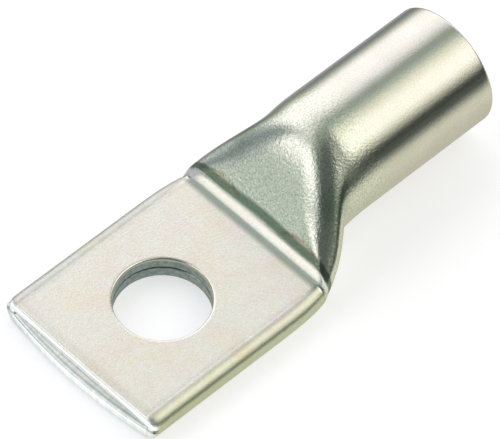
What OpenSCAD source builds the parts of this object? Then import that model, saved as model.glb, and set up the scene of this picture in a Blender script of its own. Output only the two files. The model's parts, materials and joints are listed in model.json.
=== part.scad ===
// Tubular cable lug, made from one length of copper tube and tin plated.
// Its front part is pressed flat into a palm: two layers of the tube's wall that join at a fold
// along each side, with a fine slit between them. A bolt hole goes through both layers.
// Behind a low step the neck opens out from the flat palm to the round barrel, which takes the wire.
// Origin: on the bolt hole's axis, at the palm's underside. +Y runs to the barrel's mouth, +Z is up.

/* [Barrel] */
// Outside diameter of the round barrel
barrel_d = 11.4; // [10.8:0.1:12.4]
// Wall of the round barrel
barrel_wall = 1.35; // [1.1:0.05:1.7]
// Length of the round barrel, from the neck's end to the mouth
barrel_len = 13.05; // [9:0.05:30]
// Depth of the round bore, from the mouth inwards
bore_len = 15; // [12:0.5:30]
// Rounding of the mouth's outer edge
mouth_round = 0.3; // [0.1:0.05:0.6]
// Chamfer of the mouth's inner edge
mouth_chamfer = 0.3; // [0.1:0.05:0.6]

/* [Palm] */
// Width of the palm, over its two side folds
palm_w = 18.2; // [16:0.1:20]
// Thickness of the palm, through both layers
palm_t = 2.4; // [2:0.1:2.8]
// Height of the slit between the two layers
slit_t = 0.1; // [0.06:0.02:0.2]
// From the bolt hole's axis to the palm's front corners
palm_front = 9.3; // [8:0.1:12]
// How far the middle of the upper layer's front edge stands out past the corners
upper_bow = 0.12; // [0.05:0.01:0.4]
// How far the middle of the lower layer's front edge stands out past the corners
lower_bow = 0.8; // [0.4:0.05:1.2]
// How far the lower layer's front corners stand out past the upper layer's
lower_lead = 0.06; // [0.04:0.02:0.2]
// Rounding of the front's upper edge, where the cut drew the metal in
front_round = 0.35; // [0.1:0.05:0.6]
// From the bolt hole's axis to where the palm begins to narrow
palm_straight = 4.5; // [2:0.1:6]

/* [Bolt hole] */
// Diameter of the bolt hole
bolt_hole_d = 8.4; // [5.3:0.1:10.5]
// Rounding of the hole's upper edge
hole_round = 0.2; // [0.05:0.05:0.4]

/* [Neck] */
// From the bolt hole's axis to the foot of the step
step_start = 10.15; // [9.5:0.05:13]
// Length of the step's slope, from its foot to its top
step_run = 0.9; // [0.5:0.05:1.4]
// Height of the step above the palm
step_rise = 1.5; // [0.6:0.1:2]
// Length of the neck, from the step's top to the round barrel
neck_len = 8.95; // [7:0.05:13]
// Slope of the neck's top in degrees, behind the step
neck_angle = 57; // [45:1:65]
// How gently the neck's slope turns level: the length of its bend is about four times this
neck_bend = 1; // [0.4:0.1:1.6]
// From where the flare of the sides ends to where the round barrel starts
flare_lead = 4.7; // [3:0.1:6]
// How late the sides flare on the way from the palm to the barrel: 1 is a straight taper
flare_curve = 3.6; // [2.4:0.1:4.5]
// How far before the flare's end the neck's shoulders leave its line, to run smoothly into the barrel
shoulder_lead = 2.6; // [1:0.1:4]
// How far behind the flare's end they reach the barrel's line
shoulder_tail = 1.7; // [0.5:0.1:3]
// How much of the neck's flat top turns round behind the step: 0 is none, 1 is all
neck_crown = 0.4; // [0:0.05:0.8]
// Length over which the neck's flat top turns round
crown_run = 2.2; // [0.5:0.1:4]
// How far the hollow's corners are drawn out where the layers close on each other
hollow_pinch = 0.8; // [0.4:0.1:1.2]

/* [Hidden] */
$fn = 96;
barrel_r = barrel_d / 2;
bore_r = barrel_r - barrel_wall;
palm_wall = (palm_t - slit_t) / 2;
step_top = step_start + step_run;
barrel_start = step_top + neck_len;
flare_end = barrel_start - flare_lead;
bore_start = barrel_start + barrel_len - bore_len;
ramp_end = step_top + (barrel_d - palm_t - step_rise) / tan(neck_angle);
palm_half = palm_w / 2;
// The neck reaches this far into the barrel's front end, and stays this much inside its surface there
seat = 0.4;
seat_gap = 0.12;
// How far a cutter runs past the face that it cuts
past = 1;
// Each section keeps at least this half width of flat, so that its two sides never meet in a point
least_flat = 0.2;
// Rings along the palm's narrowing, the step and the neck, and segments in a quarter turn
palm_rings = 7;
step_rings = 6;
neck_rings = 22;
quarter = 10;

function ease(t) = t * t * (3 - 2 * t);
function mix(a, b, t) = a + (b - a) * t;
function share(y, from, to) = min(1, max(0, (y - from) / (to - from)));

// Outside height of the section at y: the palm, the step, and the neck's ramp, which bends level
function step_share(t) = ease(t) - tan(neck_angle) * step_run / step_rise * t * t * (1 - t);
function ramp_at(y) = barrel_d - tan(neck_angle) * neck_bend * ln(1 + exp((ramp_end - y) / neck_bend));
function height_at(y) =
    y < step_top
    ? palm_t + step_rise * step_share(share(y, step_start, step_top))
    : mix(ramp_at(y), barrel_d, ease(share(y, (step_top + 2 * barrel_start) / 3, barrel_start)));

// Outside half width at y: the tube spreads as it is pressed flat
function half_width_at(y) =
    mix(palm_half, barrel_r, pow(share(y, palm_straight, flare_end), flare_curve));

// Half width of the section's upper half at y: it has no kink where the flare ends
function shoulder_at(y) =
    let (
        start = flare_end - shoulder_lead,
        flare = flare_end - palm_straight,
        slope = (barrel_r - palm_half) * flare_curve
            * pow(share(start, palm_straight, flare_end), flare_curve - 1) / flare,
        run = shoulder_lead + shoulder_tail,
        t = share(y, start, start + run)
    )
    y < start
    ? half_width_at(y)
    : mix(half_width_at(start), barrel_r, ease(t)) + run * slope * t * (1 - t) * (1 - t);

// Wall at y: it thins a little where the tube is pressed
function wall_at(y) =
    mix(palm_wall, barrel_wall, share(height_at(y), palm_t, barrel_d));

// How much of the flat top has turned round at y
function crown_at(y) = neck_crown * ease(share(y, step_top, step_top + crown_run));

// One section as points in X and Z: a flat top and bottom joined by round sides.
// half and upper are the half widths of its lower and upper half, low and high its lowest and
// highest Z, and reach the width of its sides. crown draws the upper sides in over the flat top.
function section(half, upper, low, high, reach, crown) =
    let (
        middle = (low + high) / 2,
        rise = (high - low) / 2,
        low_flat = max(least_flat, half - reach),
        top_flat = max(least_flat, (upper - reach) * (1 - crown))
    )
    [
        for (side = [1, -1])
            for (i = [-quarter:quarter])
                let (
                    turn = 90 * i / quarter,
                    low_x = low_flat + (half - low_flat) * cos(turn),
                    top_x = top_flat + (upper - top_flat) * cos(turn)
                )
                [side * mix(low_x, top_x, ease(share(sin(turn), -0.2, 0.5))), middle + side * rise * sin(turn)]
    ];

function outer_section(y, trim = 0) =
    let (high = height_at(y))
    section(
        half_width_at(y) - trim, shoulder_at(y) - trim, trim, high - trim,
        (high - 2 * trim) / 2, crown_at(y)
    );

function hollow_section(y, trim = 0) =
    let (
        wall = wall_at(y),
        settle = ease(share(y, flare_end, bore_start)),
        high = mix(height_at(y) - wall, barrel_r + bore_r, settle) - trim,
        low = wall + trim,
        half = half_width_at(y) - wall - trim,
        rise = (high - low) / 2
    )
    section(half, half, low, high, rise + hollow_pinch * share(bore_r - rise, 0, bore_r), crown_at(y));

// Y of each ring, from the end of the palm's straight part to the barrel
palm_ys = [for (i = [0:palm_rings - 1]) mix(palm_straight, step_start, i / palm_rings)];
step_ys = [for (i = [0:step_rings - 1]) mix(step_start, step_top, i / step_rings)];
neck_ys = [for (i = [0:neck_rings - 1]) mix(step_top, flare_end, i / neck_rings)];
lead_ys = [for (i = [0:7]) mix(flare_end, barrel_start, i / 8)];
bore_ys = [for (i = [0:3]) mix(flare_end, bore_start, i / 4)];

// A solid through a row of sections. ys gives each section's place along Y.
module loft(sections, ys) {
    count = len(sections[0]);
    last = len(ys) - 1;
    points = [for (k = [0:last]) for (p = sections[k]) [p[0], ys[k], p[1]]];
    sides = [
        for (k = [0:last - 1])
            for (i = [0:count - 1])
                let (
                    j = (i + 1) % count,
                    a = k * count + i,
                    b = k * count + j,
                    c = a + count,
                    d = b + count
                )
                each [[a, b, d], [a, d, c]]
    ];
    front_cap = [for (i = [0:count - 1]) count - 1 - i];
    rear_cap = [for (i = [0:count - 1]) last * count + i];
    polyhedron(points = points, faces = concat([front_cap, rear_cap], sides));
}

// What the shear takes off one layer's front: all that lies before a wide disc, whose rim gives the
// layer's edge its bow past the corners. It fills Z from low to high, and edge rounds the disc's rim.
module front_waste(corner, bow, low, high, edge = 0) {
    r = (palm_half * palm_half + bow * bow) / (2 * bow);
    depth = lower_bow + lower_lead + past;
    crown = palm_t + edge / 10;
    difference() {
        translate([-palm_half - past, -corner - depth, low])
            cube([palm_w + 2 * past, 2 * depth, high - low]);
        translate([0, r - corner - bow, 0])
            if (edge > 0) {
                rotate_extrude($fn = 240) {
                    translate([r - depth, low - past])
                        square([depth - edge, crown - low + past]);
                    translate([r - depth, low - past])
                        square([depth, crown - edge - low + past]);
                    translate([r - edge, crown - edge])
                        circle(r = edge, $fn = 48);
                }
            } else {
                translate([0, 0, low - past])
                    cylinder(r = r, h = high - low + 2 * past, $fn = 240);
            }
    }
}

// The round barrel, with a small chamfer where it meets the neck and a round edge at the mouth
module barrel() {
    soft_r = barrel_r - mouth_round;
    soft_y = barrel_len - mouth_round;
    translate([0, barrel_start, barrel_r])
        rotate([-90, 0, 0])
            rotate_extrude() {
                polygon([
                    [0, 0],
                    [barrel_r - 1.5 * seat_gap, 0],
                    [barrel_r, 1.5 * seat_gap],
                    [barrel_r, soft_y],
                    [soft_r, soft_y],
                    [soft_r, barrel_len],
                    [0, barrel_len]
                ]);
                translate([soft_r, soft_y])
                    intersection() {
                        circle(r = mouth_round, $fn = 48);
                        square(mouth_round);
                    }
            }
}

// The palm and the neck: the pressed part of the tube, from its front end into the barrel
module pressed_part() {
    front = -palm_front - lower_lead - lower_bow;
    ys = concat([front], palm_ys, step_ys, neck_ys, lead_ys, [barrel_start, barrel_start + seat]);
    last = len(ys) - 1;
    sections = [for (k = [0:last]) outer_section(ys[k], k > last - 2 ? seat_gap : 0)];
    loft(sections, ys);
}

// The hollow between the layers, as it opens from the slit to the round bore
module neck_hollow() {
    ys = concat(step_ys, neck_ys, bore_ys, [bore_start, bore_start + seat]);
    last = len(ys) - 1;
    sections = [for (k = [0:last]) hollow_section(ys[k], k > last - 2 ? seat_gap : 0)];
    loft(sections, ys);
}

module slit() {
    front = -(palm_front + lower_lead + lower_bow + past);
    rear = step_start + step_run / 2;
    inset = palm_wall + slit_t;
    side_ys = concat([front], palm_ys, [step_start, rear]);
    right = [for (y = side_ys) [half_width_at(y) - inset, y]];
    last = len(right) - 1;
    left = [for (i = [0:last]) [-right[last - i][0], right[last - i][1]]];
    translate([0, 0, palm_wall])
        linear_extrude(height = slit_t)
            polygon(concat(right, left));
}

module bore() {
    translate([0, bore_start, barrel_r])
        rotate([-90, 0, 0]) {
            cylinder(r = bore_r, h = bore_len + past);
            translate([0, 0, bore_len - mouth_chamfer])
                cylinder(r1 = bore_r, r2 = bore_r + mouth_chamfer + past, h = mouth_chamfer + past);
        }
}

// The bolt hole, with the rim that the punch drew in at its upper edge
module bolt_hole() {
    r = bolt_hole_d / 2;
    translate([0, 0, -past])
        cylinder(r = r, h = palm_t + 2 * past);
    translate([0, 0, palm_t - hole_round])
        rotate_extrude()
            difference() {
                square([r + hole_round, hole_round + past]);
                translate([r + hole_round, 0])
                    circle(r = hole_round, $fn = 48);
            }
}

module lug_body() {
    color([0.82, 0.81, 0.76])
        difference() {
            union() {
                pressed_part();
                barrel();
            }
            front_waste(palm_front, upper_bow, palm_t / 2, palm_t + past, front_round);
            front_waste(palm_front + lower_lead, lower_bow, -past, palm_t / 2);
            bore();
            neck_hollow();
            slit();
            bolt_hole();
        }
}

lug_body();
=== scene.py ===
"""Tubular cable lug: one length of tin plated copper tube, pressed flat into a palm at one end."""

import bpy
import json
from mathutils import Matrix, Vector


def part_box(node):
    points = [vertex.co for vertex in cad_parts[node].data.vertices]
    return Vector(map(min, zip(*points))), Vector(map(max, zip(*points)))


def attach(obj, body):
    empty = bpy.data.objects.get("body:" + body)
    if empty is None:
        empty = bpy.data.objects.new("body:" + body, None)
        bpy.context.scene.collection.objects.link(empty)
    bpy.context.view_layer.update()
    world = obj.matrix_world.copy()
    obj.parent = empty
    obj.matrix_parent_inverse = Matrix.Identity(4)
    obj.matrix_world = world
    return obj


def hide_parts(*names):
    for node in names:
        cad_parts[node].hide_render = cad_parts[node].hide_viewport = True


bl_info = {
    "name": "Tubular Cable Lug",
    "version": (1, 0, 0),
    "blender": (4, 5, 0),
    "location": "3D View > Sidebar > Cable Lug",
    "description": "Models a tubular cable lug with its pressed palm, neck and barrel, and a plain studio",
    "category": "Mesh",
}

import json
import math

import bmesh
import bpy
from mathutils import Matrix, Vector

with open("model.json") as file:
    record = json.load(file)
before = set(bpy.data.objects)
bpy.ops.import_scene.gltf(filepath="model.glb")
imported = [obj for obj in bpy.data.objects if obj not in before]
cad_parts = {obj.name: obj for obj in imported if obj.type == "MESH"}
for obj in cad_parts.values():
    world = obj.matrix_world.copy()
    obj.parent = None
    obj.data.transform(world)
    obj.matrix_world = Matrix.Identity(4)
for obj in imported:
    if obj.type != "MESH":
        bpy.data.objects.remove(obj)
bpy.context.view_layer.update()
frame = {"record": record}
CAD_LOW, CAD_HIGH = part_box("lug_body")
MOUNTS = {mount["name"]: mount for mount in frame["record"]["mounts"]}
MM = 0.001

# Vertices round the tube, and samples of one section's outline before they are spaced evenly
RING = 256
ARC_SAMPLES = 48
# Half the side of the square that is cut out of each flat layer round the bolt hole
HOLE_PATCH = 5.2 * MM
HOLE_SEGMENTS = 160
# The last plain sections before the rounded front end, of the outside and of the slit
PALM_LAST_Y = -7.5 * MM
SLIT_LAST_Y = -8.2 * MM
# Edges sharper than this stay sharp in the shading
SHARP_ANGLE = math.radians(32)


def ease(t):
    """Goes from 0 to 1 with level ends, for t from 0 to 1."""
    return t * t * (3 - 2 * t)


def mix(a, b, t):
    return a + (b - a) * t


def share(value, start, end):
    """How far value has gone from start to end, held between 0 and 1."""
    return min(1.0, max(0.0, (value - start) / (end - start)))


def span(start, end, count):
    """count values from start towards end, without end itself."""
    return [mix(start, end, i / count) for i in range(count)]


class TubeForm:
    """The lug's outside and hollow as sections across Y, from the sizes in the sidebar."""

    def __init__(self, sizes):
        self.barrel_r = sizes.barrel_d / 2
        self.bore_r = sizes.bore_d / 2
        self.wall = self.barrel_r - self.bore_r
        self.palm_half = sizes.palm_w / 2
        self.palm_t = sizes.palm_t
        self.slit_t = sizes.slit_t
        self.palm_wall = (self.palm_t - self.slit_t) / 2
        self.lower_bow = sizes.lower_bow
        self.lower_front = sizes.palm_front + sizes.lower_lead + sizes.lower_bow
        self.step_start = sizes.step_start
        self.step_top = sizes.step_start + sizes.step_run
        self.step_rise = sizes.step_rise
        self.neck_slope = math.tan(sizes.neck_angle)
        self.neck_bend = sizes.neck_bend
        self.neck_end = self.step_top + sizes.neck_len
        climb = 2 * self.barrel_r - self.palm_t - self.step_rise
        self.ramp_end = self.step_top + climb / self.neck_slope
        self.mouth = CAD_HIGH.y
        self.bore_start = self.mouth - sizes.bore_len
        self.flare_start = sizes.palm_straight
        self.flare_end = self.neck_end - sizes.flare_lead
        self.flare_curve = sizes.flare_curve
        self.pinch = sizes.hollow_pinch
        self.shoulder_lead = sizes.shoulder_lead
        self.shoulder_tail = sizes.shoulder_tail
        self.crown = sizes.neck_crown
        self.crown_run = sizes.crown_run

    def height(self, y):
        """Outside height: the palm, the step, and the neck's rise to the barrel."""
        if y < self.step_top:
            t = share(y, self.step_start, self.step_top)
            lean = self.neck_slope * (self.step_top - self.step_start) / self.step_rise
            return self.palm_t + self.step_rise * (ease(t) - lean * t * t * (1 - t))
        bend = self.neck_bend
        short = bend * math.log(1 + math.exp((self.ramp_end - y) / bend))
        ramp = 2 * self.barrel_r - self.neck_slope * short
        level = ease(share(y, (self.step_top + 2 * self.neck_end) / 3, self.neck_end))
        return mix(ramp, 2 * self.barrel_r, level)

    def half_width(self, y):
        """Outside half width: the tube spreads as it is pressed flat."""
        t = share(y, self.flare_start, self.flare_end)
        return mix(self.palm_half, self.barrel_r, t**self.flare_curve)

    def shoulder_width(self, y):
        """Half width of the section's upper half, which runs into the barrel without the side's kink."""
        start = self.flare_end - self.shoulder_lead
        if y <= start:
            return self.half_width(y)
        run = self.shoulder_lead + self.shoulder_tail
        flare = self.flare_end - self.flare_start
        u = (start - self.flare_start) / flare
        slope = (self.barrel_r - self.palm_half) * self.flare_curve * u ** (self.flare_curve - 1) / flare
        t = share(y, start, start + run)
        return mix(self.half_width(start), self.barrel_r, ease(t)) + run * slope * t * (1 - t) * (1 - t)

    def crown_at(self, y):
        """How much of the flat top has turned round at y."""
        return self.crown * ease(share(y, self.step_top, self.step_top + self.crown_run))

    def outer(self, y, inset=0.0):
        """The outside at y, or a section that lies inset inside it."""
        high = self.height(y) - inset
        rise = (high - inset) / 2
        half = self.half_width(y) - inset
        upper = self.shoulder_width(y) - inset
        return outline(half, upper, inset, high, rise, self.crown_at(y))

    def hollow(self, y):
        """The hollow at y: the fine slit, the opening neck and the round bore."""
        t = share(self.height(y), self.palm_t, 2 * self.barrel_r)
        wall = mix(self.palm_wall, self.wall, t)
        settle = ease(share(y, self.flare_end, self.bore_start))
        high = mix(self.height(y) - wall, self.barrel_r + self.bore_r, settle)
        rise = (high - wall) / 2
        half = self.half_width(y) - wall
        reach = rise + self.pinch * share(self.bore_r - rise, 0, self.bore_r)
        return outline(half, half, wall, high, reach, self.crown_at(y))


def quarter_outline(rise, across):
    """A quarter section as evenly spaced points, from the side's middle to the middle of the flat.

    rise is the height from the one to the other, and across gives the half width at each turn.
    """
    turns = [math.pi / 2 * i / ARC_SAMPLES for i in range(ARC_SAMPLES + 1)]
    corner = [(across(a), rise * math.sin(a)) for a in turns]
    corner.append((0.0, rise))
    steps = [math.dist(a, b) for a, b in zip(corner, corner[1:])]
    total = sum(steps)
    count = RING // 4
    points = []
    at = 0
    passed = 0.0
    for i in range(count + 1):
        target = total * i / count
        while at < len(steps) - 1 and passed + steps[at] < target:
            passed += steps[at]
            at += 1
        t = min(1.0, (target - passed) / steps[at]) if steps[at] > 0 else 0.0
        points.append((mix(corner[at][0], corner[at + 1][0], t), mix(corner[at][1], corner[at + 1][1], t)))
    return points


def outline(half, upper, low, high, reach, crown):
    """A flat top and bottom joined by round sides, as RING points in X and Z.

    The first point is the middle of the +X side, and the points run over the top. half and upper
    are the half widths below and above the middle, reach is the width of the round sides, and
    crown draws the upper ones in over the flat top.
    """
    middle = (low + high) / 2
    rise = (high - low) / 2
    low_flat = max(0.0, half - reach)
    top_flat = max(0.0, upper - reach) * (1 - crown)

    def across(turn):
        low_x = low_flat + (half - low_flat) * math.cos(turn)
        top_x = top_flat + (upper - top_flat) * math.cos(turn)
        return mix(low_x, top_x, ease(share(math.sin(turn), -0.2, 0.5)))

    top = quarter_outline(rise, across)
    top += [(-x, z) for x, z in reversed(top[:-1])]
    bottom = quarter_outline(rise, lambda turn: across(-turn))
    bottom += [(-x, z) for x, z in reversed(bottom[:-1])]
    whole = top + [(x, -z) for x, z in reversed(bottom[1:-1])]
    return [(x, middle + z) for x, z in whole]


def ring_edges(ring):
    """The closed row of edges that joins a ring's vertices."""
    edges = []
    for a, b in zip(ring, ring[1:] + ring[:1]):
        edges.append(next(e for e in a.link_edges if e.other_vert(a) is b))
    return edges


def place(ring, points):
    for vert, point in zip(ring, points):
        vert.co = point


def extrude_ring(bm, ring, points):
    """Extrudes a ring of edges and sets the new ring on the given points."""
    old = set(ring)
    made = bmesh.ops.extrude_edge_only(bm, edges=ring_edges(ring))["geom"]
    follows = {}
    for vert in made:
        if isinstance(vert, bmesh.types.BMVert):
            start = next(e.other_vert(vert) for e in vert.link_edges if e.other_vert(vert) in old)
            follows[start] = vert
    new = [follows[v] for v in ring]
    place(new, points)
    return new


def at_y(section, y):
    return [(x, y, z) for x, z in section]


class LugSizes(bpy.types.PropertyGroup):
    """Sizes of the lug, as in its CAD source but for a slightly steeper step."""

    barrel_d: bpy.props.FloatProperty(
        name="Barrel diameter", description="Outside diameter of the round barrel",
        default=CAD_HIGH.z - CAD_LOW.z, min=0.0, subtype="DISTANCE", unit="LENGTH", precision=5,
    )
    bore_d: bpy.props.FloatProperty(
        name="Bore", description="Inside diameter of the barrel, which takes the wire",
        default=2 * MM * MOUNTS["barrel_bore"]["dims"]["r_mm"], min=0.0,
        subtype="DISTANCE", unit="LENGTH", precision=5,
    )
    bore_len: bpy.props.FloatProperty(
        name="Bore depth", description="Depth of the round bore, from the mouth inwards",
        default=15 * MM, min=0.0, subtype="DISTANCE", unit="LENGTH", precision=5,
    )
    mouth_round: bpy.props.FloatProperty(
        name="Mouth rounding", description="Rounding of the mouth's outer edge",
        default=0.3 * MM, min=0.0, subtype="DISTANCE", unit="LENGTH", precision=5,
    )
    mouth_chamfer: bpy.props.FloatProperty(
        name="Mouth chamfer", description="Chamfer of the mouth's inner edge",
        default=0.3 * MM, min=0.0, subtype="DISTANCE", unit="LENGTH", precision=5,
    )
    palm_w: bpy.props.FloatProperty(
        name="Palm width", description="Width of the palm over its two side folds",
        default=CAD_HIGH.x - CAD_LOW.x, min=0.0, subtype="DISTANCE", unit="LENGTH", precision=5,
    )
    palm_t: bpy.props.FloatProperty(
        name="Palm thickness", description="Thickness of the palm through both layers",
        default=2.4 * MM, min=0.0, subtype="DISTANCE", unit="LENGTH", precision=5,
    )
    slit_t: bpy.props.FloatProperty(
        name="Slit", description="Height of the slit between the palm's two layers",
        default=0.1 * MM, min=0.0, subtype="DISTANCE", unit="LENGTH", precision=5,
    )
    palm_front: bpy.props.FloatProperty(
        name="Palm front", description="From the bolt hole's axis to the upper layer's front corners",
        default=9.3 * MM, min=0.0, subtype="DISTANCE", unit="LENGTH", precision=5,
    )
    upper_bow: bpy.props.FloatProperty(
        name="Upper bow", description="How far the upper layer's front edge bows out past its corners",
        default=0.12 * MM, min=0.0, subtype="DISTANCE", unit="LENGTH", precision=5,
    )
    lower_bow: bpy.props.FloatProperty(
        name="Lower bow", description="How far the lower layer's front edge bows out past its corners",
        default=-CAD_LOW.y - 9.36 * MM, min=0.0, subtype="DISTANCE", unit="LENGTH", precision=5,
    )
    lower_lead: bpy.props.FloatProperty(
        name="Lower lead", description="How far the lower layer's corners stand out past the upper layer's",
        default=0.06 * MM, min=0.0, subtype="DISTANCE", unit="LENGTH", precision=5,
    )
    palm_straight: bpy.props.FloatProperty(
        name="Palm straight", description="From the bolt hole's axis to where the palm begins to narrow",
        default=4.5 * MM, min=0.0, subtype="DISTANCE", unit="LENGTH", precision=5,
    )
    hole_d: bpy.props.FloatProperty(
        name="Bolt hole", description="Diameter of the bolt hole",
        default=2 * MM * MOUNTS["bolt_hole"]["dims"]["r_mm"], min=0.0,
        subtype="DISTANCE", unit="LENGTH", precision=5,
    )
    hole_round: bpy.props.FloatProperty(
        name="Hole rim", description="Rounding of the hole's upper edge, where the punch drew it in",
        default=0.2 * MM, min=0.0, subtype="DISTANCE", unit="LENGTH", precision=5,
    )
    step_start: bpy.props.FloatProperty(
        name="Step foot", description="From the bolt hole's axis to the foot of the step",
        default=10.35 * MM, min=0.0, subtype="DISTANCE", unit="LENGTH", precision=5,
    )
    step_run: bpy.props.FloatProperty(
        name="Step run", description="Length of the step's slope",
        default=0.6 * MM, min=0.0, subtype="DISTANCE", unit="LENGTH", precision=5,
    )
    step_rise: bpy.props.FloatProperty(
        name="Step rise", description="Height of the step above the palm",
        default=1.35 * MM, min=0.0, subtype="DISTANCE", unit="LENGTH", precision=5,
    )
    neck_len: bpy.props.FloatProperty(
        name="Neck length", description="From the step's top to the round barrel",
        default=9.05 * MM, min=0.0, subtype="DISTANCE", unit="LENGTH", precision=5,
    )
    neck_angle: bpy.props.FloatProperty(
        name="Neck angle", description="Slope of the neck's top behind the step",
        default=math.radians(57), min=0.0, subtype="ANGLE", unit="ROTATION",
    )
    neck_bend: bpy.props.FloatProperty(
        name="Neck bend", description="How gently the neck's slope turns level",
        default=1.0 * MM, min=0.0, subtype="DISTANCE", unit="LENGTH", precision=5,
    )
    flare_lead: bpy.props.FloatProperty(
        name="Flare lead", description="From the end of the sides' flare to the end of the neck",
        default=4.7 * MM, min=0.0, subtype="DISTANCE", unit="LENGTH", precision=5,
    )
    flare_curve: bpy.props.FloatProperty(
        name="Flare curve", description="How late the sides flare: 1 is a straight taper",
        default=3.6, min=1.0, subtype="FACTOR",
    )
    shoulder_lead: bpy.props.FloatProperty(
        name="Shoulder lead", description="How far before the flare's end the shoulders leave its line",
        default=2.6 * MM, min=0.0, subtype="DISTANCE", unit="LENGTH", precision=5,
    )
    shoulder_tail: bpy.props.FloatProperty(
        name="Shoulder tail", description="How far behind the flare's end the shoulders reach the barrel",
        default=1.7 * MM, min=0.0, subtype="DISTANCE", unit="LENGTH", precision=5,
    )
    neck_crown: bpy.props.FloatProperty(
        name="Neck crown", description="How much of the neck's flat top turns round behind the step",
        default=0.4, min=0.0, max=1.0, subtype="FACTOR",
    )
    crown_run: bpy.props.FloatProperty(
        name="Crown run", description="Length over which the neck's flat top turns round",
        default=2.2 * MM, min=0.0, subtype="DISTANCE", unit="LENGTH", precision=5,
    )
    hollow_pinch: bpy.props.FloatProperty(
        name="Hollow pinch", description="How far the hollow's corners are drawn out where it closes",
        default=0.8 * MM, min=0.0, subtype="DISTANCE", unit="LENGTH", precision=5,
    )


class LugFinish(bpy.types.PropertyGroup):
    """Colours and gloss of the tin plating."""

    tin: bpy.props.FloatVectorProperty(
        name="Tin", description="Reflected colour of the plating",
        default=(0.815, 0.81, 0.775), size=3, min=0.0, max=1.0, subtype="COLOR",
    )
    roughness: bpy.props.FloatProperty(
        name="Roughness", description="Roughness of the satin plating",
        default=0.14, min=0.0, max=1.0, subtype="FACTOR",
    )
    palm_tin: bpy.props.FloatVectorProperty(
        name="Palm tin", description="Reflected colour of the pressed palm",
        default=(1.0, 0.985, 0.945), size=3, min=0.0, max=1.0, subtype="COLOR",
    )
    palm_roughness: bpy.props.FloatProperty(
        name="Palm roughness", description="Roughness of the palm, which the press left duller",
        default=0.25, min=0.0, max=1.0, subtype="FACTOR",
    )
    grain: bpy.props.FloatProperty(
        name="Grain", description="Strength of the fine grain in the surface",
        default=0.5, min=0.0, max=1.0, subtype="FACTOR",
    )


class StudioLook(bpy.types.PropertyGroup):
    """The camera and the plain studio round the lug."""

    lens: bpy.props.FloatProperty(
        name="Lens", description="Focal length of the camera", default=432.0, min=1.0,
        subtype="DISTANCE_CAMERA", unit="CAMERA",
    )
    camera_at: bpy.props.FloatVectorProperty(
        name="Camera", description="Where the camera stands",
        default=(0.215842, -0.206567, 0.400861), size=3, subtype="TRANSLATION", unit="LENGTH",
    )
    floor: bpy.props.FloatVectorProperty(
        name="Floor", description="Colour of the plain floor",
        default=(0.79, 0.785, 0.86), size=3, min=0.0, max=1.0, subtype="COLOR",
    )


def front_rows(form, sizes):
    """Rings round the palm's front end, each a list of points, from the outside to the slit.

    Each row gives how far it lies inside the palm's section and how far behind the front edge,
    first for the upper layer and then for the lower one.
    """
    wall = form.palm_wall
    rows = [
        (0.0, 1.2, 0.0, 1.2),
        (0.0, 0.95, 0.0, 0.5),
        (0.02, 0.68, 0.0, 0.3),
        (0.06, 0.48, 0.03, 0.14),
        (0.12, 0.32, 0.09, 0.06),
        (0.2, 0.19, 0.17, 0.015),
        (0.3, 0.09, 0.28, 0.0),
        (0.42, 0.025, 0.45, 0.0),
        (0.6, 0.0, 0.65, 0.0),
        (0.85, 0.0, 0.82, 0.01),
        (1.0, 0.0, 0.97, 0.05),
        (1.09, 0.02, 1.08, 0.12),
        (wall / MM, 0.1, wall / MM, 0.25),
    ]
    rings = []
    for upper_in, upper_back, lower_in, lower_back in rows:
        upper = form.outer(0.0, upper_in * MM)
        lower = form.outer(0.0, lower_in * MM)
        ring = []
        for i in range(RING):
            if 0 < i < RING // 2:
                x, z = upper[i]
                bow = sizes.upper_bow * (1 - (x / form.palm_half) ** 2)
                ring.append((x, upper_back * MM - sizes.palm_front - bow, z))
            else:
                x, z = lower[i]
                bow = sizes.lower_bow * (1 - (x / form.palm_half) ** 2)
                ring.append((x, lower_back * MM - sizes.palm_front - sizes.lower_lead - bow, z))
        rings.append(ring)
    return rings


def tube_rings(form, sizes):
    """All rings of the tube's surface: down its outside, round the front end, and back inside."""
    soft = sizes.mouth_round
    rings = []
    for i in range(6):
        turn = math.pi / 2 * i / 6
        inset = soft * (1 - math.sin(turn))
        y = form.mouth - soft * (1 - math.cos(turn))
        rings.append(at_y(form.outer(form.mouth, inset), y))
    ys = span(form.mouth - soft, form.neck_end, 18)
    ys += span(form.neck_end, form.flare_end + 0.05 * MM, 32)
    ys += span(form.flare_end + 0.05 * MM, form.flare_end - 0.05 * MM, 2)
    ys += span(form.flare_end - 0.05 * MM, form.step_top, 48)
    ys += span(form.step_top, form.step_start, 14)
    ys += span(form.step_start, form.flare_start, 18)
    ys += span(form.flare_start, PALM_LAST_Y, 26)
    rings += [at_y(form.outer(y), y) for y in ys]
    rings += front_rows(form, sizes)
    slit_ys = span(PALM_LAST_Y, form.flare_start, 26) + span(form.flare_start, form.step_start, 10)
    slit = form.hollow(0.0)
    rings.append(at_y(slit, SLIT_LAST_Y))
    rings += [at_y(form.hollow(y), y) for y in slit_ys]
    inner_ys = span(form.step_start, form.step_top, 8) + span(form.step_top, form.bore_start, 36)
    inner_ys += span(form.bore_start, form.mouth - sizes.mouth_chamfer, 8)
    rings += [at_y(form.hollow(y), y) for y in inner_ys]
    bore = form.hollow(form.mouth)
    rings.append(at_y(bore, form.mouth - sizes.mouth_chamfer))
    wide_r = form.bore_r + sizes.mouth_chamfer
    wide = outline(wide_r, wide_r, form.barrel_r - wide_r, form.barrel_r + wide_r, wide_r, 0)
    rings.append(at_y(wide, form.mouth))
    return rings


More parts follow.
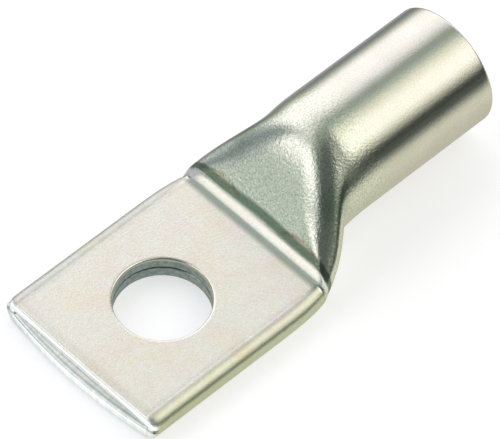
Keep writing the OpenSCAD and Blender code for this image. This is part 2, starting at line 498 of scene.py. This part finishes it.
def cut_layer(bm, patches, circles):
    """Opens the two faces of one layer and joins them through the hole by a row of circles."""
    loops = []
    for faces in patches:
        inside = set(faces)
        loops.append([e for f in faces for e in f.edges if any(g not in inside for g in e.link_faces)])
    bmesh.ops.delete(bm, geom=[f for faces in patches for f in faces], context="FACES")
    first_r, first_z = circles[0]
    level = Matrix.Translation((0, 0, first_z))
    made = bmesh.ops.create_circle(bm, cap_ends=False, segments=HOLE_SEGMENTS, radius=first_r, matrix=level)
    ring = made["verts"]
    turns = [math.atan2(v.co.y, v.co.x) for v in ring]
    bmesh.ops.triangle_fill(bm, edges=loops[0] + ring_edges(ring), use_beauty=True, normal=(0, 0, 1))
    for r, z in circles[1:]:
        ring = extrude_ring(bm, ring, [(r * math.cos(a), r * math.sin(a), z) for a in turns])
    bmesh.ops.triangle_fill(bm, edges=loops[1] + ring_edges(ring), use_beauty=True, normal=(0, 0, 1))


def smooth_and_sharpen(mesh, angle):
    """Shades the faces smooth, with sharp edges where they meet at more than the angle."""
    for polygon in mesh.polygons:
        polygon.use_smooth = True
    mesh.set_sharp_from_angle(angle=angle)


class Wiring:
    """Makes the nodes of one node tree and joins them."""

    def __init__(self, tree):
        self.tree = tree
        tree.nodes.clear()

    def node(self, kind, **settings):
        made = self.tree.nodes.new(kind)
        for name, value in settings.items():
            setattr(made, name, value)
        return made

    def feed(self, socket, value):
        """Gives a socket a number or a colour, or links it to another socket."""
        if isinstance(value, (int, float)):
            socket.default_value = value
        elif isinstance(value, (tuple, Vector)):
            socket.default_value = (*value, 1)
        else:
            self.tree.links.new(value, socket)

    def where(self, coordinates):
        """The place as a vector, then its X, Y and Z."""
        at = self.node("ShaderNodeTexCoord").outputs[coordinates]
        parts = self.node("ShaderNodeSeparateXYZ")
        self.feed(parts.inputs["Vector"], at)
        return at, parts.outputs["X"], parts.outputs["Y"], parts.outputs["Z"]

    def calc(self, kind, *values):
        made = self.node("ShaderNodeMath", operation=kind)
        for socket, value in zip(made.inputs, values):
            self.feed(socket, value)
        return made.outputs["Value"]

    def times(self, first, *others):
        """The product of two or more numbers."""
        for other in others:
            first = self.calc("MULTIPLY", first, other)
        return first

    def rise(self, value, low, high, start=0.0, end=1.0, kind="SMOOTHSTEP"):
        """A number from start to end as value goes from low to high, eased at both ends."""
        made = self.node("ShaderNodeMapRange", interpolation_type=kind)
        made.inputs["From Min"].default_value = low
        made.inputs["From Max"].default_value = high
        made.inputs["To Min"].default_value = start
        made.inputs["To Max"].default_value = end
        self.feed(made.inputs["Value"], value)
        return made.outputs["Result"]

    def fall(self, value, low, high):
        """1 up to low and 0 from high on, and smooth between them."""
        return self.rise(value, low, high, 1.0, 0.0)

    def band(self, value, low, high, soft):
        """1 where value lies between low and high, fading out over soft on both sides."""
        return self.times(self.rise(value, low - soft, low), self.fall(value, high, high + soft))

    def blend(self, amount, a, b, kind="MIX"):
        """Blends from a to b by amount. Each may be a socket, and a and b may be colours."""
        made = self.node("ShaderNodeMix", data_type="RGBA", blend_type=kind)
        self.feed(made.inputs["Factor"], amount)
        self.feed(made.inputs[6], a)
        self.feed(made.inputs[7], b)
        return made.outputs[2]

    def shade(self, amount, colour, tint):
        """Multiplies colour by tint where amount is 1."""
        return self.blend(amount, colour, tint, "MULTIPLY")

    def noise(self, at, scale, detail=2.0, rough=0.5):
        made = self.node("ShaderNodeTexNoise")
        made.inputs["Scale"].default_value = scale
        made.inputs["Detail"].default_value = detail
        made.inputs["Roughness"].default_value = rough
        self.feed(made.inputs["Vector"], at)
        return made.outputs["Fac"]

    def light_ramp(self, value, low, high, stops):
        """A colour ramp over value, whose stops give a place from low to high, a brightness and a tint."""
        made = self.node("ShaderNodeValToRGB")
        elements = made.color_ramp.elements
        elements[0].position = 0
        elements[1].position = 1
        first, last = stops[0][0], stops[-1][0]
        for stop_at, _, _ in stops[1:-1]:
            elements.new((stop_at - first) / (last - first))
        for element, (_, bright, tint) in zip(elements, stops):
            element.color = (*(bright * c for c in tint), 1)
        self.feed(made.inputs["Fac"], self.rise(value, low, high, kind="LINEAR"))
        return made.outputs["Color"]


# Colours of the plating's marks and of its painted highlight and shade. Most multiply the colour
# under them, and a pair goes from the first one to the second.
# Painted highlight: plain white that brightens the step's slope and the upper layer's front face
PAINTED_HIGHLIGHT = (1.0, 1.0, 1.0)
BARREL_CLOUD = (Vector((-0.03, -0.02, -0.04)), Vector((0.02, 0.01, 0.02)))
PALM_SPECK = (Vector((-0.05, -0.04, -0.08)), Vector((0.0, 0.015, 0.03)))
PALM_PINK = (1.0, 0.955, 0.975)
PALM_YELLOW = (1.0, 0.985, 0.93)
PITS = ((0.7, 0.74, 0.67), (0.9, 0.92, 0.84))
DOTS = (0.92, 0.92, 0.89)
# Painted shade in a line along the step's top
STEP_LINE_SHADE = (0.3, 0.37, 0.33)
# Painted reflection of the step in the palm just before its foot, a darker grey
STEP_FOOT_REFLECTION = (0.46, 0.53, 0.52)
# Painted shade on the neck's flanks behind the shoulders
NECK_PAINTED_SHADE = (0.64, 0.72, 0.68)
BROWN_EDGE = (0.72, 0.52, 0.4)
BROWN_INSIDE = (1.1, 0.98, 0.92)
# Painted shade in a grey band just inside the palm's rim
PALM_RIM_SHADE = (0.9, 0.91, 0.94)
# Painted shade on the palm's side folds, greener
SIDE_FOLD_SHADE = (0.76, 0.83, 0.72)
# Painted shade on the palm's rounded upper edges, the left one and the right one
UPPER_EDGE_SHADES = ((0.78, 0.81, 0.81), (1.0, 1.0, 0.95))
FRONT_TICKS = ((0.85, 0.9, 0.91), (1.0, 1.0, 1.0))
# Painted shade in two lines at the slit, on the lower layer's front
SLIT_LINE_SHADE = (0.66, 0.73, 0.72)
# Painted shade along the front's foot, next to the floor
FRONT_FOOT_SHADE = (0.5, 0.56, 0.55)
# Streaks on the hole's wall, darkened by painted shade
HOLE_WALL_SHADE_STREAKS = ((0.34, 0.41, 0.41), (0.48, 0.55, 0.54))
# Roughness of the palm's side folds and of its rounded upper edges
SIDE_ROUGHNESS = 0.32
EDGE_ROUGHNESS = 0.46
# How much higher the orange peel stands than the fine grain, and how far the grain's height reaches
PEEL = 2.1
GRAIN_DEPTH = 0.02 * MM


class Plating:
    """Satin tin plating over pressed copper: a pale warm metal with fine grain, the press's marks, and
    painted highlights and shade.
    """

    def __init__(self, tree, finish, form):
        self.wires = Wiring(tree)
        self.finish = finish
        self.form = form
        wires = self.wires
        self.at, self.x, self.y, self.z = wires.where("Object")
        # The distance from the middle plane, and masks for the parts of the lug
        self.spread = wires.calc("ABSOLUTE", self.x)
        self.stretched = wires.band(self.y, form.step_top + 0.6 * MM, form.neck_end - 1.0 * MM, 3.0 * MM)
        self.palm_only = wires.fall(self.y, form.step_start - 0.2 * MM, form.step_start)
        # The side folds' painted shade is stronger on the right than on the left; the same mask sets their
        # roughness and orange peel
        right = wires.rise(self.x, -1.0 * MM, 1.0 * MM, 0.4, 1.0)
        low_side = wires.fall(self.z, 1.85 * MM, 2.3 * MM)
        self.side = wires.times(low_side, wires.rise(self.spread, 7.9 * MM, 8.3 * MM), right)
        high_side = wires.rise(self.spread, 7.75 * MM, 8.05 * MM)
        self.edge = wires.times(high_side, wires.rise(self.z, 1.8 * MM, 2.05 * MM), self.palm_only)
        self.front = wires.fall(self.y, -9.05 * MM, -8.85 * MM)

    def bare_tin(self):
        """Clouded tin on the barrel, pitted where the neck was stretched, and a mottled palm."""
        wires = self.wires
        cloud = wires.noise(self.at, 420.0, 4.0, 0.6)
        tin = Vector(self.finish.tin)
        dull, bright = BARREL_CLOUD
        barrel = wires.blend(wires.rise(cloud, 0.35, 0.65), tin + dull, tin + bright)
        pits = wires.rise(wires.noise(self.at, 5600.0, 2.0, 0.7), 0.36, 0.6)
        barrel = wires.blend(self.stretched, barrel, wires.blend(pits, *PITS))
        tin = Vector(self.finish.palm_tin)
        dull, bright = PALM_SPECK
        speck = wires.noise(self.at, 3200.0, 3.0, 0.8)
        palm = wires.blend(wires.rise(speck, 0.35, 0.65), tin + dull, tin + bright)
        palm = wires.shade(wires.rise(cloud, 0.45, 0.6), palm, PALM_PINK)
        patches = wires.noise(self.at, 300.0, 3.0, 0.6)
        palm = wires.shade(wires.rise(patches, 0.48, 0.62), palm, PALM_YELLOW)
        on_neck = wires.rise(self.y, self.form.step_start - 0.25 * MM, self.form.step_top)
        dots = wires.noise(self.at, 7500.0, 2.0, 0.8)
        return wires.shade(wires.rise(dots, 0.35, 0.65), wires.blend(on_neck, palm, barrel), DOTS)

    def step_painted_light(self, colour):
        """Painted light at the step: a painted highlight on its slope, a line of painted shade above it,
        and a painted reflection of the step that darkens the palm before its foot.
        """
        wires = self.wires
        start, top = self.form.step_start, self.form.step_top
        # A painted highlight on the step's slope
        step = wires.band(self.y, start + 0.18 * MM, top - 0.18 * MM, 0.16 * MM)
        colour = wires.blend(step, colour, PAINTED_HIGHLIGHT)
        # A line of painted shade along the step's top
        # The line lies a little further back in the middle
        back = wires.rise(self.spread, 0.0, 5.0 * MM, 0.1 * MM, 0.0)
        line_y = wires.calc("SUBTRACT", self.y, back)
        line = wires.band(line_y, top + 0.06 * MM, top + 0.3 * MM, 0.24 * MM)
        colour = wires.shade(line, colour, STEP_LINE_SHADE)
        # A painted reflection of the step darkens the palm just before its foot
        before = wires.rise(self.y, start - 0.75 * MM, start - 0.15 * MM)
        behind = wires.fall(self.y, start + 0.08 * MM, start + 0.22 * MM)
        upper = wires.rise(self.z, self.form.palm_t - 0.1 * MM, self.form.palm_t)
        return wires.shade(wires.times(before, upper, behind), colour, STEP_FOOT_REFLECTION)

    def neck_shade_and_marks(self, colour):
        """Painted shade behind the shoulders, and two brown lens-shaped marks above the step's line."""
        wires = self.wires
        # Painted shade on the neck's flanks behind the shoulders
        outside = wires.rise(self.spread, 3.4 * MM, 5.2 * MM)
        along = wires.band(self.y, 13.2 * MM, 15.4 * MM, 1.6 * MM)
        dark = wires.times(outside, along, wires.rise(self.z, 5.5 * MM, 7.5 * MM))
        colour = wires.shade(dark, colour, NECK_PAINTED_SHADE)
        # Each mark is an arc, from -1 to 1 across it, and its middle stands furthest back
        arc_x, arc_half, arc_rise = 4.75 * MM, 2.5 * MM, 0.5 * MM
        across = wires.calc("MULTIPLY_ADD", self.spread, 1 / arc_half, -arc_x / arc_half)
        crest = self.form.step_top + 0.56 * MM
        arc_y = wires.calc("MULTIPLY_ADD", wires.times(across, across), -arc_rise, crest)
        ends = wires.fall(wires.calc("ABSOLUTE", across), 0.8, 1.05)
        above = wires.rise(self.y, self.form.step_top + 0.1 * MM, self.form.step_top + 0.2 * MM)
        off = wires.calc("ABSOLUTE", wires.calc("SUBTRACT", self.y, arc_y))
        broken = wires.rise(wires.noise(self.at, 2600.0, 3.0, 0.6), 0.35, 0.6)
        arc = wires.times(wires.rise(off, 0.0, 0.16 * MM, 0.8, 0.0), ends, broken, above)
        colour = wires.shade(arc, colour, BROWN_EDGE)
        inside = wires.rise(wires.calc("SUBTRACT", arc_y, self.y), 0.0, 0.1 * MM)
        return wires.shade(wires.times(inside, ends, above), colour, BROWN_INSIDE)

    def palm_sides(self, colour):
        """Painted shade: a grey band inside the palm's rim, upper edges darker on the left than the right,
        and green side folds darker on the right than the left.
        """
        wires = self.wires
        # Painted shade in a grey band just inside the rim of the palm's top, broken up by noise
        top = wires.rise(self.z, self.form.palm_t - 0.1 * MM, self.form.palm_t - 0.02 * MM)
        broken_rim = wires.rise(wires.noise(self.at, 600.0, 3.0, 0.6), 0.3, 0.6)
        inside = wires.band(self.spread, 7.65 * MM, 8.05 * MM, 0.4 * MM)
        colour = wires.shade(wires.times(inside, top, self.palm_only, broken_rim), colour, PALM_RIM_SHADE)
        # Painted shade on the side folds
        colour = wires.shade(self.side, colour, SIDE_FOLD_SHADE)
        # Painted shade on the upper edges, darker on the left than on the right
        to_right = wires.rise(self.x, -1.0 * MM, 1.0 * MM)
        return wires.shade(self.edge, colour, wires.blend(to_right, *UPPER_EDGE_SHADES))

    def front_end(self, colour):
        """The cut front end: a bright face with fine ticks, a painted highlight on the upper layer's face,
        two lines of painted shade at the slit and painted shade along the foot.
        """
        wires = self.wires
        upright = wires.node("ShaderNodeCombineXYZ")
        wires.feed(upright.inputs["X"], self.x)
        wires.feed(upright.inputs["Z"], wires.times(self.z, 0.12))
        ticks = wires.rise(wires.noise(upright.outputs["Vector"], 3600.0, 2.0, 0.7), 0.35, 0.62)
        lower = wires.times(self.front, wires.fall(self.z, 1.14 * MM, 1.2 * MM))
        colour = wires.blend(lower, colour, wires.blend(ticks, *FRONT_TICKS))
        # A painted highlight on the upper layer's front face
        upper = wires.fall(self.z, 2.0 * MM, 2.25 * MM)
        upper = wires.times(self.front, upper, wires.rise(self.z, 1.2 * MM, 1.3 * MM))
        colour = wires.blend(upper, colour, PAINTED_HIGHLIGHT)
        # The lines of painted shade at the slit follow the lower layer's bowed front edge
        bow = wires.times(self.x, self.x, self.form.lower_bow / self.form.palm_half**2)
        behind = wires.calc("SUBTRACT", wires.calc("ADD", self.y, self.form.lower_front), bow)
        inner = wires.band(behind, 0.3 * MM, 0.4 * MM, 0.1 * MM)
        outer = wires.band(behind, 0.02 * MM, 0.07 * MM, 0.07 * MM)
        ledge = wires.band(self.z, 1.05 * MM, 1.2 * MM, 0.08 * MM)
        slit_shade = wires.times(wires.calc("MAXIMUM", inner, outer), self.front, ledge)
        colour = wires.shade(slit_shade, colour, SLIT_LINE_SHADE)
        # Painted shade along the front's foot, next to the floor
        foot = wires.times(self.front, wires.fall(self.z, 0.14 * MM, 0.26 * MM))
        return wires.shade(foot, colour, FRONT_FOOT_SHADE)

    def hole_wall(self, colour):
        """The cut wall of the hole is streaked, and painted shade darkens it."""
        wires = self.wires
        squares = wires.calc("ADD", wires.times(self.x, self.x), wires.times(self.y, self.y))
        out = wires.calc("SQRT", squares)
        wall = wires.times(wires.fall(out, 4.24 * MM, 4.32 * MM), wires.fall(self.z, 2.05 * MM, 2.25 * MM))
        streak = wires.rise(wires.noise(self.at, 2600.0, 2.0, 0.6), 0.4, 0.6)
        return wires.blend(wall, colour, wires.blend(streak, *HOLE_WALL_SHADE_STREAKS))

    def roughness(self):
        wires = self.wires
        palm, barrel = self.finish.palm_roughness, self.finish.roughness
        rough = wires.rise(self.y, self.form.step_start - 0.3 * MM, self.form.step_top, palm, barrel)
        rough = wires.calc("MAXIMUM", rough, wires.times(self.side, SIDE_ROUGHNESS))
        return wires.calc("MAXIMUM", rough, wires.times(self.edge, EDGE_ROUGHNESS))

    def grain(self):
        """Fine grain everywhere, and coarser orange peel on the neck and the palm's sides."""
        wires = self.wires
        fine = wires.noise(self.at, 6500.0, 3.0, 0.7)
        coarse = wires.calc("MAXIMUM", self.stretched, wires.calc("MAXIMUM", self.side, self.edge))
        coarse = wires.times(coarse, wires.noise(self.at, 4000.0, 3.0, 0.6))
        bump = wires.node("ShaderNodeBump")
        bump.inputs["Strength"].default_value = self.finish.grain
        bump.inputs["Distance"].default_value = GRAIN_DEPTH
        wires.feed(bump.inputs["Height"], wires.calc("MULTIPLY_ADD", coarse, PEEL, fine))
        return bump.outputs["Normal"]


def plating_material(finish, form):
    mat = bpy.data.materials.new("tin_plating")
    mat.use_nodes = True
    plating = Plating(mat.node_tree, finish, form)
    colour = plating.bare_tin()
    for add_marks_and_light in (plating.step_painted_light, plating.neck_shade_and_marks, plating.palm_sides,
                      plating.front_end, plating.hole_wall):
        colour = add_marks_and_light(colour)
    wires = plating.wires
    shader = wires.node("ShaderNodeBsdfPrincipled")
    shader.inputs["Metallic"].default_value = 1.0
    wires.feed(shader.inputs["Base Color"], colour)
    wires.feed(shader.inputs["Roughness"], plating.roughness())
    wires.feed(shader.inputs["Normal"], plating.grain())
    out = wires.node("ShaderNodeOutputMaterial")
    wires.feed(out.inputs["Surface"], shader.outputs["BSDF"])
    return mat


class CABLELUG_OT_tube(bpy.types.Operator):
    """Form the lug from one tube: round barrel, opening neck, step and two-layer palm"""

    bl_idname = "cablelug.tube"
    bl_label = "Tube lug"
    bl_options = {"REGISTER", "UNDO"}

    def execute(self, context):
        sizes = context.scene.lug_sizes
        form = TubeForm(sizes)
        bm = bmesh.new()
        rings = tube_rings(form, sizes)
        ring = bmesh.ops.create_circle(bm, cap_ends=False, segments=RING, radius=form.barrel_r)["verts"]
        place(ring, rings[0])
        made = [ring]
        for points in rings[1:]:
            ring = extrude_ring(bm, ring, points)
            made.append(ring)
        bmesh.ops.bridge_loops(bm, edges=ring_edges(made[0]) + ring_edges(made[-1]))
        self.open_hole(bm, form, sizes)
        bmesh.ops.recalc_face_normals(bm, faces=bm.faces)
        if any(not e.is_manifold for e in bm.edges):
            raise RuntimeError("the lug's surface is not closed")
        mesh = bpy.data.meshes.new("tube_lug")
        bm.to_mesh(mesh)
        bm.free()
        smooth_and_sharpen(mesh, SHARP_ANGLE)
        mesh.materials.append(plating_material(context.scene.lug_finish, form))
        obj = bpy.data.objects.new("tube_lug", mesh)
        context.scene.collection.objects.link(obj)
        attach(obj, "root")
        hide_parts("lug_body")
        return {"FINISHED"}

    def open_hole(self, bm, form, sizes):
        """Punches the bolt hole through both layers, with the upper rim drawn in."""
        levels = {"top": form.palm_t, "slit_top": form.palm_wall + form.slit_t,
                  "slit_low": form.palm_wall, "low": 0.0}
        patch = {}
        for name, z in levels.items():
            patch[name] = [
                f for f in bm.faces
                if all(abs(v.co.z - z) < 1e-7 and abs(v.co.x) < HOLE_PATCH and abs(v.co.y) < HOLE_PATCH
                       for v in f.verts)
            ]
        r = sizes.hole_d / 2
        soft = sizes.hole_round
        upper = [(r + 1.6 * soft, form.palm_t), (r + soft, form.palm_t)]
        for i in range(1, 7):
            turn = math.pi / 2 * i / 6
            upper.append((r + soft * (1 - math.sin(turn)), form.palm_t - soft * (1 - math.cos(turn))))
        upper += [(r, levels["slit_top"] + 0.06 * MM), (r + 0.05 * MM, levels["slit_top"])]
        lower = [(r + 0.05 * MM, levels["slit_low"]), (r, levels["slit_low"] - 0.06 * MM),
                 (r, 0.15 * MM), (r + 0.04 * MM, 0.05 * MM), (r + 0.1 * MM, 0.0)]
        cut_layer(bm, [patch["top"], patch["slit_top"]], upper)
        cut_layer(bm, [patch["slit_low"], patch["low"]], lower)


# Tints of the studio's light
WHITE = (1.0, 0.97, 0.96)
WARM = (1.0, 0.985, 0.88)
CREAM = (1.0, 0.98, 0.8)
GREEN = (0.86, 1.0, 0.86)
COOL = (0.9, 1.0, 1.04)
# The light all round the lug's long axis: two long softboxes with a gap between them, a black flag
# at the right and a dim wall below it. Each stop has its angle in degrees, counted from +X over
# the top to -X and on under the floor, its brightness and its tint.
ROUND_LIGHT = [
    (-180, 0.85, WHITE), (-170, 0.42, GREEN), (-145, 0.3, CREAM), (-90, 0.55, CREAM), (-55, 0.6, CREAM),
    (-28, 0.75, CREAM), (-16, 0.5, CREAM), (-5, 0.2, GREEN), (9, 0.03, GREEN), (16, 0.08, GREEN),
    (27, 0.7, CREAM), (40, 1.3, WARM), (62, 1.3, WARM), (78, 0.98, CREAM), (92, 0.5, GREEN),
    (105, 0.32, GREEN), (122, 1.06, WHITE), (143, 1.3, WHITE), (168, 1.3, WHITE), (179.9, 0.85, WHITE),
]
# The wall ahead of the palm, by how far it lies to the right: -1 is -X, 0 straight ahead and 1 is +X
AHEAD_LIGHT = [
    (-1, 0.5, COOL), (-0.8, 0.28, COOL), (-0.6, 0.4, COOL), (-0.42, 0.55, GREEN), (-0.3, 0.55, GREEN),
    (0.0, 0.2, GREEN), (0.15, 0.12, COOL), (0.6, 0.13, GREEN), (1, 0.2, GREEN),
]
# A round lamp before that wall: where it stands, its brightness, and its core's and its rim's angle
LAMP_AT = (-0.30, -0.85, 0.43)
LAMP_BRIGHT = 1.4
LAMP_CORE = 9.0
LAMP_RIM = 20.0
# How high the lamp's lower edge fades in, as Z of the direction
LAMP_FOOT = (0.2, 0.34)
# Where the wall ahead gives way to the light all round, as Y of the direction plus a share of its
# Z: the left softbox comes further forward than the right one. SIDES goes by X from left to right.
LEFT_FRONT = (1.0, -0.05, 0.3)
RIGHT_FRONT = (0.4, 0.16, 0.5)
SIDES = (-0.35, 0.05)


def studio_world():
    """Large soft panels with darker gaps between them, as in a light tent, and white to the camera."""
    world = bpy.data.worlds.new("studio")
    world.use_nodes = True
    wires = Wiring(world.node_tree)
    at, x, y, z = wires.where("Generated")
    angle = wires.calc("ARCTAN2", z, x)
    around = wires.light_ramp(angle, -math.pi, math.radians(ROUND_LIGHT[-1][0]), ROUND_LIGHT)
    ahead = wires.light_ramp(x, -1, 1, AHEAD_LIGHT)
    toward = wires.node("ShaderNodeVectorMath", operation="DOT_PRODUCT")
    wires.feed(toward.inputs[0], at)
    toward.inputs[1].default_value = Vector(LAMP_AT).normalized()
    core, rim = math.cos(math.radians(LAMP_CORE)), math.cos(math.radians(LAMP_RIM))
    lamp = wires.times(wires.rise(toward.outputs["Value"], rim, core), wires.rise(z, *LAMP_FOOT))
    front = wires.blend(lamp, ahead, LAMP_BRIGHT * Vector(WHITE))

    def turns_round(share_of_z, low, high):
        return wires.rise(wires.calc("MULTIPLY_ADD", z, share_of_z, y), low, high)

    left = turns_round(*LEFT_FRONT)
    right = turns_round(*RIGHT_FRONT)
    side = wires.rise(x, *SIDES)
    amount = wires.calc("MULTIPLY_ADD", side, wires.calc("SUBTRACT", right, left), left)
    whole = wires.blend(amount, front, around)
    path = wires.node("ShaderNodeLightPath")
    seen = wires.blend(path.outputs["Is Camera Ray"], whole, (1.0, 1.0, 1.0))
    back = wires.node("ShaderNodeBackground")
    wires.feed(back.inputs["Color"], seen)
    out = wires.node("ShaderNodeOutputWorld")
    wires.feed(out.inputs["Surface"], back.outputs["Background"])
    return world


# How much the floor glows to the camera
FLOOR_GLOW = 0.54
# Painted light on the floor as the metal reflects it, by how far it lies to the right of the lug's
# axis in mm, and ahead of the palm's front end, where it is brightest
FLOOR_LIGHT = [
    (-100, 0.6, CREAM), (-54, 0.36, GREEN), (-22, 0.22, COOL), (-14, 0.5, WHITE), (-8, 0.42, COOL),
    (4, 0.55, CREAM), (14, 0.75, CREAM), (22, 0.72, CREAM), (30, 0.5, CREAM), (50, 0.22, GREEN),
    (100, 0.08, GREEN),
]
FLOOR_FRONT = (-11 * MM, -9 * MM)
FLOOR_AHEAD = (1.15, 1.18, 1.18)
# Half the side of the square floor
FLOOR_HALF = 3.0
# Which way the camera's picture runs to its right and upwards
CAMERA_RIGHT = Vector((0.69155012, 0.72210535, 0.01795285))
CAMERA_UP = Vector((-0.57959709, 0.53989651, 0.61039247))


def floor_material(colour):
    """A plain pale floor that reads white to the camera and keeps the lug's soft shadow."""
    mat = bpy.data.materials.new("pale_floor")
    mat.use_nodes = True
    wires = Wiring(mat.node_tree)
    path = wires.node("ShaderNodeLightPath")
    matt = wires.node("ShaderNodeBsdfDiffuse")
    wires.feed(matt.inputs["Color"], Vector(colour))
    # A little glow keeps it white to the camera
    glow = wires.node("ShaderNodeEmission")
    wires.feed(glow.inputs["Strength"], wires.times(path.outputs["Is Camera Ray"], FLOOR_GLOW))
    both = wires.node("ShaderNodeAddShader")
    wires.feed(both.inputs[0], matt.outputs["BSDF"])
    wires.feed(both.inputs[1], glow.outputs["Emission"])
    # The metal sees a glow in its place, painted with uneven light and without the lug's shadow
    _, x, y, _ = wires.where("Object")
    sides = wires.light_ramp(x, FLOOR_LIGHT[0][0] * MM, FLOOR_LIGHT[-1][0] * MM, FLOOR_LIGHT)
    ahead = wires.rise(y, *FLOOR_FRONT, 1, 0, kind="LINEAR")
    mirrored = wires.node("ShaderNodeEmission")
    wires.feed(mirrored.inputs["Color"], wires.blend(ahead, sides, FLOOR_AHEAD))
    shown = wires.node("ShaderNodeMixShader")
    wires.feed(shown.inputs["Fac"], path.outputs["Is Glossy Ray"])
    wires.feed(shown.inputs[1], both.outputs["Shader"])
    wires.feed(shown.inputs[2], mirrored.outputs["Emission"])
    out = wires.node("ShaderNodeOutputMaterial")
    wires.feed(out.inputs["Surface"], shown.outputs["Shader"])
    return mat


class CABLELUG_OT_studio(bpy.types.Operator):
    """Set the plain floor, the soft studio light and the camera"""

    bl_idname = "cablelug.studio"
    bl_label = "Studio"
    bl_options = {"REGISTER", "UNDO"}

    def execute(self, context):
        look = context.scene.studio_look
        bm = bmesh.new()
        level = Matrix.Translation((0, 0, CAD_LOW.z))
        bmesh.ops.create_grid(bm, x_segments=2, y_segments=2, size=FLOOR_HALF, matrix=level)
        mesh = bpy.data.meshes.new("floor")
        bm.to_mesh(mesh)
        bm.free()
        mesh.materials.append(floor_material(look.floor))
        floor = bpy.data.objects.new("floor", mesh)
        context.scene.collection.objects.link(floor)
        context.scene.world = studio_world()
        data = bpy.data.cameras.new("camera")
        data.lens = look.lens
        data.sensor_width = 36.0
        camera = bpy.data.objects.new("camera", data)
        axes = (CAMERA_RIGHT, CAMERA_UP, CAMERA_RIGHT.cross(CAMERA_UP))
        turn = Matrix(axes).transposed().to_4x4()
        camera.matrix_world = Matrix.Translation(look.camera_at) @ turn
        context.scene.collection.objects.link(camera)
        context.scene.camera = camera
        context.scene.view_settings.view_transform = "Standard"
        return {"FINISHED"}


class CABLELUG_PT_panel(bpy.types.Panel):
    """Lists the lug's sizes and finish, and makes its pieces"""

    bl_idname = "CABLELUG_PT_panel"
    bl_label = "Cable Lug"
    bl_space_type = "VIEW_3D"
    bl_region_type = "UI"
    bl_category = "Cable Lug"

    def draw(self, context):
        layout = self.layout
        for group in (context.scene.lug_sizes, context.scene.lug_finish, context.scene.studio_look):
            box = layout.box()
            for name in group.__annotations__:
                box.prop(group, name)
        layout.operator(CABLELUG_OT_tube.bl_idname)
        layout.operator(CABLELUG_OT_studio.bl_idname)


CLASSES = (LugSizes, LugFinish, StudioLook, CABLELUG_OT_tube, CABLELUG_OT_studio, CABLELUG_PT_panel)


def register():
    for cls in CLASSES:
        bpy.utils.register_class(cls)
    bpy.types.Scene.lug_sizes = bpy.props.PointerProperty(type=LugSizes)
    bpy.types.Scene.lug_finish = bpy.props.PointerProperty(type=LugFinish)
    bpy.types.Scene.studio_look = bpy.props.PointerProperty(type=StudioLook)


def unregister():
    del bpy.types.Scene.studio_look
    del bpy.types.Scene.lug_finish
    del bpy.types.Scene.lug_sizes
    for cls in reversed(CLASSES):
        bpy.utils.unregister_class(cls)


def main():
    register()
    bpy.ops.cablelug.tube()
    bpy.ops.cablelug.studio()


if __name__ == "__main__":
    main()
